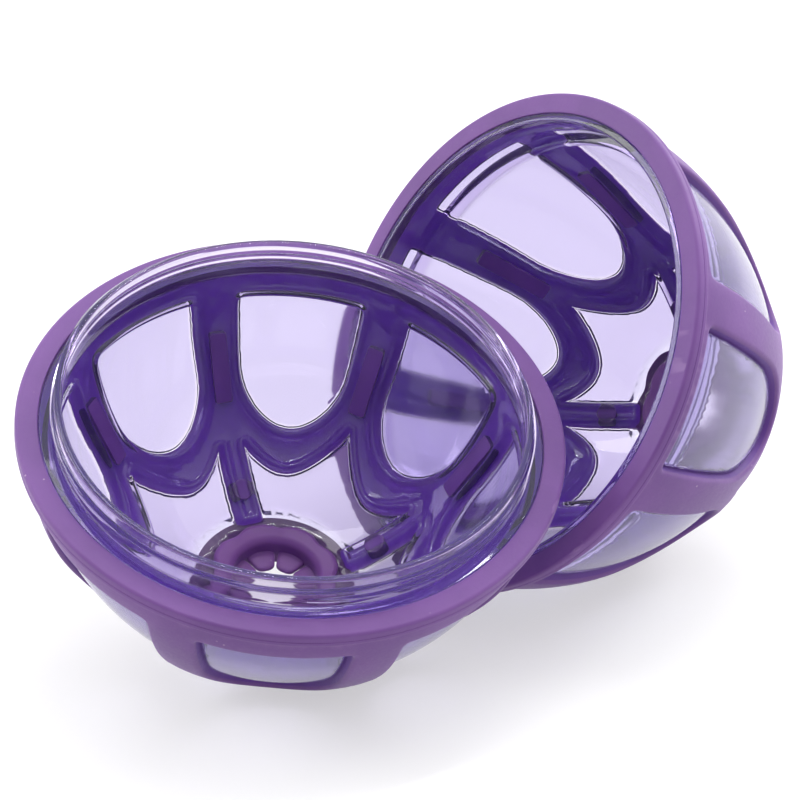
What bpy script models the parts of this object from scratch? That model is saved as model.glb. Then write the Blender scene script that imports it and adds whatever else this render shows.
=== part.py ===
# Treat dispensing toy: an egg of two halves that screw together, shown open.
# Each half is a clear rigid shell carrying a rubber bumper ring, a rubber
# cage of eight petal arches, and a rubber outlet with eight flexing prongs.
# Every half is drawn mouth up, mouth plane at z = 0, body towards -z, in
# millimetres, and then leaned and stood on the floor by its own empty.

import bpy
import bmesh
import math
import numpy as np
from mathutils import Matrix, Vector
from mathutils.geometry import delaunay_2d_cdt

MM = 0.001

# ---------------------------------------------------------------- dimensions
SHELL_R = 58.0            # outer radius of the shell at the mouth
WALL = 2.2                # shell wall
BASE_DEPTH = 58.5         # mouth to pole, shell outside, blunt half
BASE_POWER = 2.0
CAP_DEPTH = 77.5          # the pointed half is deeper
CAP_POWER = 1.85
GAP = 0.35                # between rubber and shell
RUBBER_H = 3.4            # how far the cage stands off the shell

BUMPER_R = 63.5           # 127 mm across the bumper ring
BUMPER_T = 3.5

NECK_R_OUT = 54.6
NECK_R_IN = 52.9
NECK_H = 8.0
THREAD_R = 55.5
SOCKET_R = 56.0
SOCKET_DEPTH = 10.2
STOP_R = 54.3

PETALS = 8
PETAL_PITCH = math.radians(360.0 / PETALS)
WINDOW_HALF = math.radians(16.85)     # half width of a window
ARCH_HALF = math.radians(23.8)        # half width of an arch's outer curve
BAR_HALF_W = 3.0                      # half width of a radial bar
HUB_FLANGE_R = 20.0
HUB_LOBE_R = 16.0
HUB_TUBE_R = 13.2
HUB_HOLE_R = 10.4
POLE_HOLE_R = 13.6

# windows and arches, as depths below the mouth plane
WIN = {
    "base": dict(top=11.0, side=30.0, tip=43.0, arch_side=34.5, arch_tip=49.4,
                 key=(20.5, 37.0)),
    "cap": dict(top=7.5, side=40.0, tip=57.4, arch_side=47.0, arch_tip=64.9,
                key=(27.0, 47.4)),
}
KEY_HALF_W = 2.2
PLUG_R = 2.7
PLUG_RING_R = {"base": 27.0, "cap": 26.5}   # where a lock plug sits on its bar

PRONG_HINGE_R = 8.75
PRONG_TIP_R = 5.6
PRONG_T = 2.0
PRONG_ROOT_W = 2.4        # half width at the root
PRONG_H = -0.4            # height of the hinge in the outlet, off the shell
PRONGS = 8

SEG = 44                  # round segments of a shell
BUMPER_SEG = 60
HUB_SEG = 32

# how the halves stand: lean of the mouth's normal from the vertical, the
# heading of that lean, and the half's turn about its own axis
BASE_LEAN, BASE_HEADING, BASE_TURN = 22.7, -72.5, -17.5
CAP_LEAN, CAP_HEADING, CAP_TURN = 62.5, -145.3, 95.9
CAP_OFFSET = (49.4, 45.9)     # mouth centre of the cap from the base's, x and y
SWING_LIFT = 12.0             # mouth to mouth distance at the end of the swing


# ------------------------------------------------------------------- helpers
def clear_scene():
    for ob in list(bpy.data.objects):
        bpy.data.objects.remove(ob, do_unlink=True)


def material(name, rgb, rough, alpha=1.0, transmission=0.0):
    mat = bpy.data.materials.get(name)
    if mat:
        return mat
    mat = bpy.data.materials.new(name)
    mat.use_nodes = True
    bsdf = mat.node_tree.nodes["Principled BSDF"]
    bsdf.inputs["Base Color"].default_value = (*rgb, 1.0)
    bsdf.inputs["Roughness"].default_value = rough
    bsdf.inputs["Metallic"].default_value = 0.0
    bsdf.inputs["Alpha"].default_value = alpha
    bsdf.inputs["Transmission Weight"].default_value = transmission
    return mat


def make_object(name, verts, faces, parent, matrix=None, smooth=35.0, mat=None):
    me = bpy.data.meshes.new(name)
    me.from_pydata([Vector(v) * MM for v in verts], [], faces)
    bm = bmesh.new()
    bm.from_mesh(me)
    bmesh.ops.recalc_face_normals(bm, faces=bm.faces[:])
    if bm.calc_volume(signed=True) < 0:
        bmesh.ops.reverse_faces(bm, faces=bm.faces[:])
    bm.to_mesh(me)
    bm.free()
    me.shade_smooth()
    me.set_sharp_from_angle(angle=math.radians(smooth))
    if mat:
        me.materials.append(mat)
    ob = bpy.data.objects.new(name, me)
    bpy.context.collection.objects.link(ob)
    ob.parent = parent
    if matrix is not None:
        ob.matrix_local = matrix
    return ob


def empty(name, matrix, parent=None):
    ob = bpy.data.objects.new(name, None)
    bpy.context.collection.objects.link(ob)
    ob.empty_display_size = 0.02
    ob.parent = parent
    ob.matrix_local = matrix
    return ob


class Dome:
    """Outer surface of a half: (r/R)^2 + (z/H)^q = 1, followed by depth z."""

    def __init__(self, radius, depth, power):
        t = np.sin(np.linspace(0.0, 1.0, 4001) * math.pi / 2)
        self.z = depth * t
        self.r = radius * np.sqrt(np.clip(1.0 - t ** power, 0.0, 1.0))
        step = np.hypot(np.diff(self.z), np.diff(self.r))
        self.s = np.concatenate([[0.0], np.cumsum(step)])
        self.length = float(self.s[-1])
        dz = np.gradient(self.z, self.s)
        dr = np.gradient(self.r, self.s)
        self.nr, self.nz = dz, -dr

    def s_of_z(self, z):
        return float(np.interp(z, self.z, self.s))

    def s_of_r(self, r):
        return float(np.interp(-r, -self.r, self.s))

    def rz(self, s, h=0.0):
        """radius and height at arc length s from the mouth, h off the surface"""
        r = float(np.interp(s, self.s, self.r))
        z = float(np.interp(s, self.s, self.z))
        nr = float(np.interp(s, self.s, self.nr))
        nz = float(np.interp(s, self.s, self.nz))
        return r + h * nr, -(z + h * nz)

    def point(self, s, ang, h=0.0):
        r, z = self.rz(s, h)
        return (r * math.cos(ang), r * math.sin(ang), z)

    def normal(self, s, ang):
        nr = float(np.interp(s, self.s, self.nr))
        nz = float(np.interp(s, self.s, self.nz))
        return Vector((nr * math.cos(ang), nr * math.sin(ang), -nz)).normalized()


def lathe(profile, seg, lobes=None):
    """Ring solid from a closed (radius, height) profile. lobes maps a profile
    index to a function of the angle that scales its radius."""
    verts, faces = [], []
    n = len(profile)
    for j in range(seg):
        a = 2.0 * math.pi * j / seg
        for i, (r, z) in enumerate(profile):
            k = lobes[i](a) if lobes and i in lobes else 1.0
            verts.append((r * k * math.cos(a), r * k * math.sin(a), z))
    for j in range(seg):
        j2 = (j + 1) % seg
        for i in range(n):
            i2 = (i + 1) % n
            faces.append((j * n + i, j2 * n + i, j2 * n + i2, j * n + i2))
    return verts, faces


# --------------------------------------------------------------------- shells
def shell_profile(dome, neck):
    """Closed profile of a shell with its mouth and its pole hole."""
    s_end = dome.s_of_r(POLE_HOLE_R)
    s_start = dome.s_of_z(2.0)
    rows = 8
    outer = [dome.rz(s_start + (s_end - s_start) * k / rows) for k in range(rows + 1)]
    in_start = dome.s_of_z(5.5 if neck else SOCKET_DEPTH + 3.0)
    inner = [dome.rz(in_start + (s_end - in_start) * k / (rows - 1), -WALL)
             for k in range(rows)]
    inner[-1] = (POLE_HOLE_R, inner[-1][1])
    if neck:
        mouth = [(NECK_R_IN, -0.6), (NECK_R_IN, NECK_H - 0.5), (NECK_R_IN + 0.5, NECK_H),
                 (NECK_R_OUT - 0.3, NECK_H), (NECK_R_OUT, NECK_H - 0.6),
                 (NECK_R_OUT, 6.0), (THREAD_R, 5.4), (NECK_R_OUT, 4.6),
                 (NECK_R_OUT, 3.2), (THREAD_R, 2.6), (NECK_R_OUT, 1.8),
                 (NECK_R_OUT, -0.4), (SHELL_R, -0.4)]
    else:
        mouth = [(STOP_R, -SOCKET_DEPTH - 1.6), (STOP_R, -SOCKET_DEPTH),
                 (SOCKET_R, -SOCKET_DEPTH + 0.3), (SOCKET_R, -4.6), (SOCKET_R - 0.9, -4.0),
                 (SOCKET_R - 0.9, -3.4), (SOCKET_R, -2.8), (SOCKET_R, -0.7),
                 (SOCKET_R + 0.5, -0.2), (SHELL_R, -0.2)]
    return inner[::-1] + mouth + outer


def curved_block(dome, ang, half_w, z0, z1, h0, h1, rows=4):
    """Block that follows the dome along a meridian."""
    s0, s1 = dome.s_of_z(z0), dome.s_of_z(z1)
    verts, faces = [], []
    for k in range(rows + 1):
        s = s0 + (s1 - s0) * k / rows
        for h in (h0, h1):
            r = dome.rz(s, h)[0]
            for sgn in (-1, 1):
                verts.append(dome.point(s, ang + sgn * math.asin(half_w / r), h))
    for k in range(rows):
        a, b = 4 * k, 4 * k + 4
        faces += [(a, a + 1, b + 1, b), (a + 2, b + 2, b + 3, a + 3),
                  (a, b, b + 2, a + 2), (a + 1, a + 3, b + 3, b + 1)]
    e = 4 * rows
    faces += [(0, 2, 3, 1), (e, e + 1, e + 3, e + 2)]
    return verts, faces


def disc_plug(dome, ang, radius_at, disc_r, h0, h1, sides=14):
    """Short cylinder through the wall, along the dome's normal."""
    s = dome.s_of_r(radius_at)
    base = Vector(dome.point(s, ang))
    n = dome.normal(s, ang)
    u = Vector((-math.sin(ang), math.cos(ang), 0.0))
    v = n.cross(u)
    verts, faces = [], []
    for h in (h0, h1):
        for k in range(sides):
            a = 2.0 * math.pi * k / sides
            verts.append(base + n * h + (u * math.cos(a) + v * math.sin(a)) * disc_r)
    for k in range(sides):
        k2 = (k + 1) % sides
        faces.append((k, k2, sides + k2, sides + k))
    faces.append(tuple(range(sides))[::-1])
    faces.append(tuple(range(sides, 2 * sides)))
    return verts, faces


def merge_parts(parts):
    verts, faces = [], []
    for v, f in parts:
        off = len(verts)
        verts += v
        faces += [tuple(i + off for i in face) for face in f]
    return verts, faces


# ----------------------------------------------------------------------- cage
def window_loop(dome, w, centre):
    """Window outline as (arc length, angle): square top, elliptical tip."""
    pts = []
    s_top = dome.s_of_z(w["top"])
    z_side, z_tip = w["side"], w["tip"]
    corner_s, corner_a = 2.6, math.radians(2.6)
    for k in range(5):
        t = k / 4.0
        pts.append((s_top, centre + (2 * t - 1) * (WINDOW_HALF - corner_a)))
    pts.append((s_top + corner_s, centre + WINDOW_HALF))
    s_side, s_tip = dome.s_of_z(z_side), dome.s_of_z(z_tip)
    for k in range(1, 4):
        pts.append((s_top + corner_s + (s_side - s_top - corner_s) * k / 4.0,
                    centre + WINDOW_HALF))
    for k in range(11):
        t = math.pi * k / 10.0
        pts.append((s_side + (s_tip - s_side) * math.sin(t),
                    centre + WINDOW_HALF * math.cos(t)))
    for k in range(3, 0, -1):
        pts.append((s_top + corner_s + (s_side - s_top - corner_s) * k / 4.0,
                    centre - WINDOW_HALF))
    pts.append((s_top + corner_s, centre - WINDOW_HALF))
    return pts


def arch_depth(w, delta):
    """Depth of an arch's outer curve, delta away from its petal's middle."""
    k = math.sqrt(max(0.0, 1.0 - (delta / ARCH_HALF) ** 2))
    return w["arch_side"] + (w["arch_tip"] - w["arch_side"]) * k


def inner_loop(dome, w):
    """Pole side edge of the cage: arches, notches and four radial bars."""
    pts = []
    half = PETAL_PITCH / 2
    s_hub = dome.s_of_r(HUB_FLANGE_R + 0.35)
    for bar in range(PETALS // 2):
        mid = half + bar * 2 * PETAL_PITCH
        r_hub = dome.rz(s_hub)[0]
        a_hub = math.asin(BAR_HALF_W / r_hub)
        # across the bar's end
        for k in (-1, 0, 1):
            pts.append((s_hub, mid + k * a_hub))
        # where the bar's side meets the arch
        d = 0.0
        for step in range(400):
            d = math.radians(step * 0.05)
            s = dome.s_of_z(arch_depth(w, half - d))
            if dome.rz(s)[0] * math.sin(d) >= BAR_HALF_W:
                break
        s_root = dome.s_of_z(arch_depth(w, half - d))
        for k in range(1, 3):
            s = s_hub + (s_root - s_hub) * k / 3.0
            pts.append((s, mid + math.asin(BAR_HALF_W / dome.rz(s)[0])))
        # two arches with the notch between them
        for petal in range(2):
            c = mid + half + petal * PETAL_PITCH
            first = -half + d if petal == 0 else -half
            last = half if petal == 0 else half - d
            n = 9
            for k in range(n):
                x = first + (last - first) * k / n
                pts.append((dome.s_of_z(arch_depth(w, x)), c + x))
        pts.append((s_root, mid + 2 * PETAL_PITCH - d))
        for k in range(2, 0, -1):
            s = s_hub + (s_root - s_hub) * k / 3.0
            pts.append((s, mid + 2 * PETAL_PITCH - math.asin(BAR_HALF_W / dome.rz(s)[0])))
    return pts


def inside(poly, x, y):
    hit = False
    n = len(poly)
    for i in range(n):
        x0, y0 = poly[i]
        x1, y1 = poly[(i + 1) % n]
        if (y0 > y) != (y1 > y) and x < (x1 - x0) * (y - y0) / (y1 - y0) + x0:
            hit = not hit
    return hit


def cage_mesh(dome, w, h0, h1):
    """Curved plate between the bumper and the outlet with its windows cut out.
    It is laid out flat around the pole, filled with triangles and bent back."""
    def flat(s, a):
        q = dome.length - s
        return (q * math.cos(a), q * math.sin(a))

    s_top = dome.s_of_z(BUMPER_T + 0.3)
    ring = 64
    loops = [[flat(s_top, 2 * math.pi * k / ring) for k in range(ring)],
             [flat(s, a) for s, a in inner_loop(dome, w)]]
    for k in range(PETALS):
        loops.append([flat(s, a) for s, a in window_loop(dome, w, k * PETAL_PITCH)])
    coords, edges = [], []
    for loop in loops:
        off = len(coords)
        coords += [Vector(p) for p in loop]
        edges += [(off + i, off + (i + 1) % len(loop)) for i in range(len(loop))]
    # points along the middle of each rib keep the plate on its curve
    s_low = dome.s_of_z(w["arch_side"] + 0.25 * (w["arch_tip"] - w["arch_side"]))
    for k in range(PETALS):
        for j in range(1, 9):
            s = s_top + (s_low - s_top) * j / 8.0
            coords.append(Vector(flat(s, (k + 0.5) * PETAL_PITCH)))
    out = delaunay_2d_cdt(coords, edges, [], 1, 1e-6)
    pts, tris = out[0], out[2]
    keep = []
    for t in tris:
        x = sum(pts[i].x for i in t) / len(t)
        y = sum(pts[i].y for i in t) / len(t)
        if inside(loops[0], x, y) and not any(inside(q, x, y) for q in loops[1:]):
            keep.append(tuple(t))
    used = sorted({i for t in keep for i in t})
    index = {v: i for i, v in enumerate(used)}
    verts = []
    for h in (h0, h1):
        for v in used:
            q = math.hypot(pts[v].x, pts[v].y)
            verts.append(dome.point(dome.length - q, math.atan2(pts[v].y, pts[v].x), h))
    n = len(used)
    count = {}
    faces = []
    for t in keep:
        t = tuple(index[i] for i in t)
        faces.append(t)
        faces.append(tuple(i + n for i in reversed(t)))
        for a, b in zip(t, t[1:] + t[:1]):
            key = (min(a, b), max(a, b))
            count[key] = count.get(key, 0) + 1
    for (a, b), c in count.items():
        if c == 1:
            faces.append((a, b, b + n, a + n))
    return verts, faces


# ---------------------------------------------------------------- small parts
def bumper_profile():
    r0, r1, t = SHELL_R + GAP, BUMPER_R, BUMPER_T
    return [(r0, 0.0), (r1 - 0.9, 0.0), (r1 - 0.2, -0.5), (r1, -1.4),
            (r1 - 0.1, -t + 0.6), (r1 - 0.8, -t), (r0, -t)]


def hub_profile(dome):
    def at(r, h):
        return (r, dome.rz(dome.s_of_r(r), h)[1])
    return [at(HUB_FLANGE_R, GAP), at(HUB_FLANGE_R, RUBBER_H), at(HUB_FLANGE_R - 1.4, 4.0),
            at(HUB_HOLE_R + 1.2, 4.0), at(HUB_HOLE_R, 3.0), at(HUB_HOLE_R, -4.2),
            at(HUB_HOLE_R + 1.2, -5.2), at(HUB_LOBE_R - 1.2, -5.2), at(HUB_LOBE_R, -4.2),
            at(HUB_LOBE_R, -WALL - 2 * GAP), at(HUB_TUBE_R, -WALL - 2 * GAP),
            at(HUB_TUBE_R, GAP)]


def prong_mesh():
    """Tongue pointing to the outlet's axis. It is drawn about its hinge: +x
    to the axis, y along the hinge, with a round root and a blunt tip."""
    t = PRONG_T / 2
    length = PRONG_HINGE_R - PRONG_TIP_R
    side = []
    for k in range(5):
        a = math.pi / 2 + math.pi * k / 4
        side.append((math.cos(a) * t, math.sin(a) * t))
    side += [(length * 0.55, -t), (length - 0.4, -t * 0.75), (length, 0.0),
             (length - 0.4, t * 0.75), (length * 0.55, t)]
    verts, faces = [], []
    n = len(side)
    for sgn in (-1, 1):
        for x, z in side:
            r = PRONG_HINGE_R - x
            y = min(PRONG_ROOT_W, r * math.tan(math.radians(18.0))) if x < length * 0.6 else r * 0.3
            verts.append((x, sgn * y, z))
    for i in range(n):
        i2 = (i + 1) % n
        faces.append((i, i2, n + i2, n + i))
    faces.append(tuple(range(n))[::-1])
    faces.append(tuple(range(n, 2 * n)))
    return verts, faces


# ---------------------------------------------------------------- whole halves
def build_half(tag, frame, dome, neck, mats, bumper_parent):
    w = WIN[tag]
    shell_v, shell_f = lathe(shell_profile(dome, neck), SEG)
    shell = make_object(tag + "_shell", shell_v, shell_f, frame, mat=mats["clear"])

    cuts = []
    keys = []       # rubber that passes through the wall and locks the cage on
    for k in range(PETALS):
        a = (k + 0.5) * PETAL_PITCH
        z0, z1 = w["key"]
        cuts.append(curved_block(dome, a, KEY_HALF_W + 0.3, z0 - 0.3, z1 + 0.3, -WALL - 1.5, 1.5))
        keys.append(curved_block(dome, a, KEY_HALF_W, z0, z1, -WALL + 0.05, 1.6))
    for k in range(PETALS // 2):
        a = PETAL_PITCH / 2 + k * 2 * PETAL_PITCH
        cuts.append(disc_plug(dome, a, PLUG_RING_R[tag], PLUG_R + 0.3, -WALL - 1.5, 1.5))
        keys.append(disc_plug(dome, a, PLUG_RING_R[tag], PLUG_R, -WALL - 0.6, 1.6))
    v, f = merge_parts(cuts)
    cutter = make_object(tag + "_shell_cutter", v, f, frame)
    cutter.hide_render = True
    cutter.display_type = "WIRE"
    mod = shell.modifiers.new("slots", "BOOLEAN")
    mod.operation = "DIFFERENCE"
    mod.solver = "EXACT"
    mod.object = cutter

    v, f = lathe(bumper_profile(), BUMPER_SEG)
    rel = bumper_parent.matrix_world.inverted() @ frame.matrix_world
    make_object(tag + "_rim_bumper", v, f, bumper_parent, rel, mat=mats["rubber"])

    v, f = cage_mesh(dome, w, GAP + 0.1, RUBBER_H)
    cage = make_object(tag + "_rib_cage", v, f, frame, mat=mats["rubber"])
    v, f = merge_parts(keys)
    guide = make_object(tag + "_cage_keys", v, f, frame)
    guide.hide_render = True
    guide.display_type = "WIRE"
    mod = cage.modifiers.new("keys", "BOOLEAN")
    mod.operation = "UNION"
    mod.solver = "EXACT"
    mod.object = guide

    def lobe(a):
        x = (a / PETAL_PITCH) % 1.0
        return 1.0 - 0.07 * abs(math.cos(math.pi * x)) ** 4
    v, f = lathe(hub_profile(dome), HUB_SEG, {7: lobe, 8: lobe, 9: lobe})
    make_object(tag + "_outlet_ring", v, f, frame, mat=mats["rubber"])

    pv, pf = prong_mesh()
    z = dome.rz(dome.s_of_r(PRONG_HINGE_R), PRONG_H)[1]
    for k in range(PRONGS):
        a = (k + 0.5) * PETAL_PITCH
        place = (Matrix.Rotation(a, 4, "Z") @ Matrix.Translation(Vector((PRONG_HINGE_R, 0, z)) * MM)
                 @ Matrix.Rotation(math.pi, 4, "Z"))
        make_object("%s_prong_%d" % (tag, k + 1), pv, pf, frame, place, mat=mats["rubber"])


def lean_matrix(lean, heading, turn):
    return (Matrix.Rotation(math.radians(heading), 4, "Z")
            @ Matrix.Rotation(math.radians(lean), 4, "Y")
            @ Matrix.Rotation(math.radians(turn), 4, "Z"))


def rubber_points(tag, dome):
    """All outer points of a half that can meet the floor."""
    pts = [Vector(v) for v in cage_mesh(dome, WIN[tag], GAP + 0.1, RUBBER_H)[0]]
    pts += [Vector(v) for v in lathe(bumper_profile(), BUMPER_SEG)[0]]
    pts += [Vector(v) for v in lathe(hub_profile(dome), HUB_SEG)[0]]
    return pts


def lowest(points, rot):
    """How far a half reaches below its mouth centre once it is leaned."""
    return min((rot @ p).z for p in points)


def swing_axis(base_m, cap_m):
    """The one axis whose turn carries the cap from the floor to above the
    neck: its direction, a point on it and the angle."""
    c0 = cap_m.to_translation()
    d0 = -(cap_m.to_3x3() @ Vector((0, 0, 1)))
    up = base_m.to_3x3() @ Vector((0, 0, 1))
    c1 = base_m.to_translation() + up * SWING_LIFT * MM
    axis = (c1 - c0).cross(up - d0).normalized()
    p = (d0 - axis * axis.dot(d0)).normalized()
    q = (up - axis * axis.dot(up)).normalized()
    ang = math.atan2(axis.dot(p.cross(q)), p.dot(q))
    if ang < 0:
        axis, ang = -axis, -ang
    # centre of the turn, in the plane through both mouth centres
    chord = c1 - c0
    mid = (c0 + c1) / 2
    centre = mid + axis.cross(chord) * (0.5 / math.tan(ang / 2))
    return axis, centre, ang


def main():
    clear_scene()
    mats = {
        "clear": material("clear_lavender", (0.62, 0.56, 0.80), 0.08, 0.35, 0.9),
        "rubber": material("purple_rubber", (0.30, 0.13, 0.42), 0.55),
    }
    base_dome = Dome(SHELL_R, BASE_DEPTH, BASE_POWER)
    cap_dome = Dome(SHELL_R, CAP_DEPTH, CAP_POWER)

    base_rot = lean_matrix(BASE_LEAN, BASE_HEADING, BASE_TURN)
    cap_rot = lean_matrix(CAP_LEAN, CAP_HEADING, CAP_TURN)
    base_pts = rubber_points("base", base_dome)
    cap_pts = rubber_points("cap", cap_dome)
    base_c = Vector((0.0, 0.0, -lowest(base_pts, base_rot)))
    cap_c = Vector((CAP_OFFSET[0], CAP_OFFSET[1], -lowest(cap_pts, cap_rot)))

    # the middle of the whole footprint goes to the origin
    lo, hi = Vector((1e9, 1e9, 0)), Vector((-1e9, -1e9, 0))
    for points, rot, c in ((base_pts, base_rot, base_c), (cap_pts, cap_rot, cap_c)):
        for v in points:
            p = rot @ v + c
            lo = Vector((min(lo.x, p.x), min(lo.y, p.y), 0))
            hi = Vector((max(hi.x, p.x), max(hi.y, p.y), 0))
    shift = -(lo + hi) / 2
    base_m = Matrix.Translation((base_c + shift) * MM) @ base_rot
    cap_m = Matrix.Translation((cap_c + shift) * MM) @ cap_rot

    base_frame = empty("base_frame", base_m)
    axis, centre, ang = swing_axis(base_m, cap_m)
    pivot = empty("cap_swing_pivot", Matrix.Translation(centre)
                  @ Vector((0, 0, 1)).rotation_difference(axis).to_matrix().to_4x4())
    bpy.context.view_layer.update()
    cap_frame = empty("cap_frame", pivot.matrix_world.inverted() @ cap_m, pivot)
    bpy.context.view_layer.update()

    build_half("base", base_frame, base_dome, True, mats, base_frame)
    build_half("cap", cap_frame, cap_dome, False, mats, pivot)
    bpy.context.view_layer.update()


main()
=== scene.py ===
# Treat dispensing toy, shown open: the looks of its two halves.
# Every half is drawn in its own frame, mouth up, mouth plane at z = 0, body
# towards -z, in millimetres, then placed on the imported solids.

import bpy
import bmesh
import math
import numpy as np
from mathutils import Matrix, Vector
from mathutils.geometry import delaunay_2d_cdt
from mathutils.kdtree import KDTree


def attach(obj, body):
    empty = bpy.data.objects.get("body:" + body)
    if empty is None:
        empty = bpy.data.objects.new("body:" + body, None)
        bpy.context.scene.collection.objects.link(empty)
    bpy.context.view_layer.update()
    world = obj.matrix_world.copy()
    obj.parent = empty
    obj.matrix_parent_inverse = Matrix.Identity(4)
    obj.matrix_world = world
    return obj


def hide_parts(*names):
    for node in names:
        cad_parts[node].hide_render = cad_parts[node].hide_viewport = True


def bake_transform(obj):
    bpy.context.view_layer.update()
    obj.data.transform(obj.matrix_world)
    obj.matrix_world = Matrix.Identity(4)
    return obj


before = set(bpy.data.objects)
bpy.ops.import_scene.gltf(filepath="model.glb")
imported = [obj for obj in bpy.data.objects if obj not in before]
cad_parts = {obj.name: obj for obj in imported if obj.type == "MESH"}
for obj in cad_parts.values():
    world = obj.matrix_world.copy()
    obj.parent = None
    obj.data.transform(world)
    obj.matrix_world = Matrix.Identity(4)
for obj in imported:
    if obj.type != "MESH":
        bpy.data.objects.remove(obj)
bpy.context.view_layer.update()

MM = 0.001
TAU = 2.0 * math.pi

# ------------------------------------------------------------- shared sizes
SHELL_R, WALL = 58.0, 2.2
BUMPER_R, BUMPER_T = 63.5, 3.5
RUBBER_H = 3.25
NECK_R_OUT, NECK_R_IN, NECK_H, THREAD_R = 54.6, 52.9, 8.0, 55.5
SOCKET_R, SOCKET_DEPTH, STOP_R = 56.0, 10.2, 54.3
PETALS = 8
PITCH = TAU / PETALS
WINDOW_HALF = math.radians(16.85)
ARCH_HALF = math.radians(23.8)
BAR_HALF_W = 3.0
FLANGE_R, LOBE_R, TUBE_R, HOLE_R, POLE_R = 20.0, 16.0, 13.2, 10.4, 13.6
HINGE_R, TIP_R, PRONG_H = 8.75, 5.1, -0.4
# the shell's inner bead round every window and its raised panes outside:
# height over distance from the rubber's edge, positive into the rubber
BEAD_AT = (-0.45, -0.30, -0.10, 0.20, 0.55, 0.90, 1.25, 1.60, 1.85, 2.05)
BEAD_UP = (-1.0, -0.42, 0.20, 0.86, 1.22, 1.31, 1.25, 1.02, 0.66, 0.40)
PANE_AT = (-1.75, -1.35, -1.05, -0.85, -0.68, -0.55)
PANE_UP = (1.15, 1.10, 0.94, 0.68, 0.36, 0.0)
POLE_PANE = 1.5           # panes at the pole are this many times higher
HALVES = {
    "base": dict(depth=58.5, power=2.0, top=11.0, side=30.0, tip=43.0, arch_side=34.5,
                 arch_tip=49.4, key=(20.5, 37.0), plug=27.0, neck=True, fade=(5.5, 9.5), joins=(5.5, 5.6),
                 lean=22.7, heading=-72.5, turn=-17.5, at=(-28.9254, -26.6265, 61.7734)),
    "cap": dict(depth=77.5, power=1.85, top=7.5, side=40.0, tip=57.4, arch_side=47.0,
                arch_tip=64.9, key=(27.0, 47.4), plug=26.5, neck=False, fade=(14.0, 16.5), joins=(14.4, 5.6),
                lean=62.5, heading=-145.3, turn=95.9, at=(20.4746, 19.2735, 64.4548)),
}
KEY_HALF_W, PLUG_R = 2.2, 2.7


# ----------------------------------------------------------------- materials
def new_material(name):
    mat = bpy.data.materials.new(name)
    mat.use_nodes = True
    nt = mat.node_tree
    bsdf = nt.nodes["Principled BSDF"]
    coord = nt.nodes.new("ShaderNodeTexCoord")
    return mat, nt, bsdf, coord.outputs["Object"]


def noise(nt, vec, scale, detail=2.0, rough=0.5, distortion=0.0):
    n = nt.nodes.new("ShaderNodeTexNoise")
    n.inputs["Scale"].default_value = scale
    n.inputs["Detail"].default_value = detail
    n.inputs["Roughness"].default_value = rough
    n.inputs["Distortion"].default_value = distortion
    nt.links.new(vec, n.inputs["Vector"])
    return n.outputs["Fac"]


def remap(nt, value, a, b, c, d, smooth=True):
    n = nt.nodes.new("ShaderNodeMapRange")
    n.interpolation_type = "SMOOTHSTEP" if smooth else "LINEAR"
    for key, x in zip(("From Min", "From Max", "To Min", "To Max"), (a, b, c, d)):
        n.inputs[key].default_value = x
    nt.links.new(value, n.inputs["Value"])
    return n.outputs["Result"]


def mix(nt, fac, a, b, blend="MIX"):
    n = nt.nodes.new("ShaderNodeMix")
    n.data_type = "RGBA"
    n.blend_type = blend
    for socket, x in ((n.inputs[0], fac), (n.inputs[6], a), (n.inputs[7], b)):
        if isinstance(x, bpy.types.NodeSocket):
            nt.links.new(x, socket)
        elif isinstance(x, (tuple, list)):
            socket.default_value = (*x, 1.0)
        else:
            socket.default_value = x
    return n.outputs[2]


def math_node(nt, op, a, b):
    n = nt.nodes.new("ShaderNodeMath")
    n.operation = op
    for socket, x in ((n.inputs[0], a), (n.inputs[1], b)):
        if isinstance(x, bpy.types.NodeSocket):
            nt.links.new(x, socket)
        else:
            socket.default_value = x
    return n.outputs[0]


def bump(nt, height, distance, strength=1.0, after=None):
    n = nt.nodes.new("ShaderNodeBump")
    n.inputs["Strength"].default_value = strength
    n.inputs["Distance"].default_value = distance
    nt.links.new(height, n.inputs["Height"])
    if after is not None:
        nt.links.new(after, n.inputs["Normal"])
    return n.outputs["Normal"]


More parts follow.
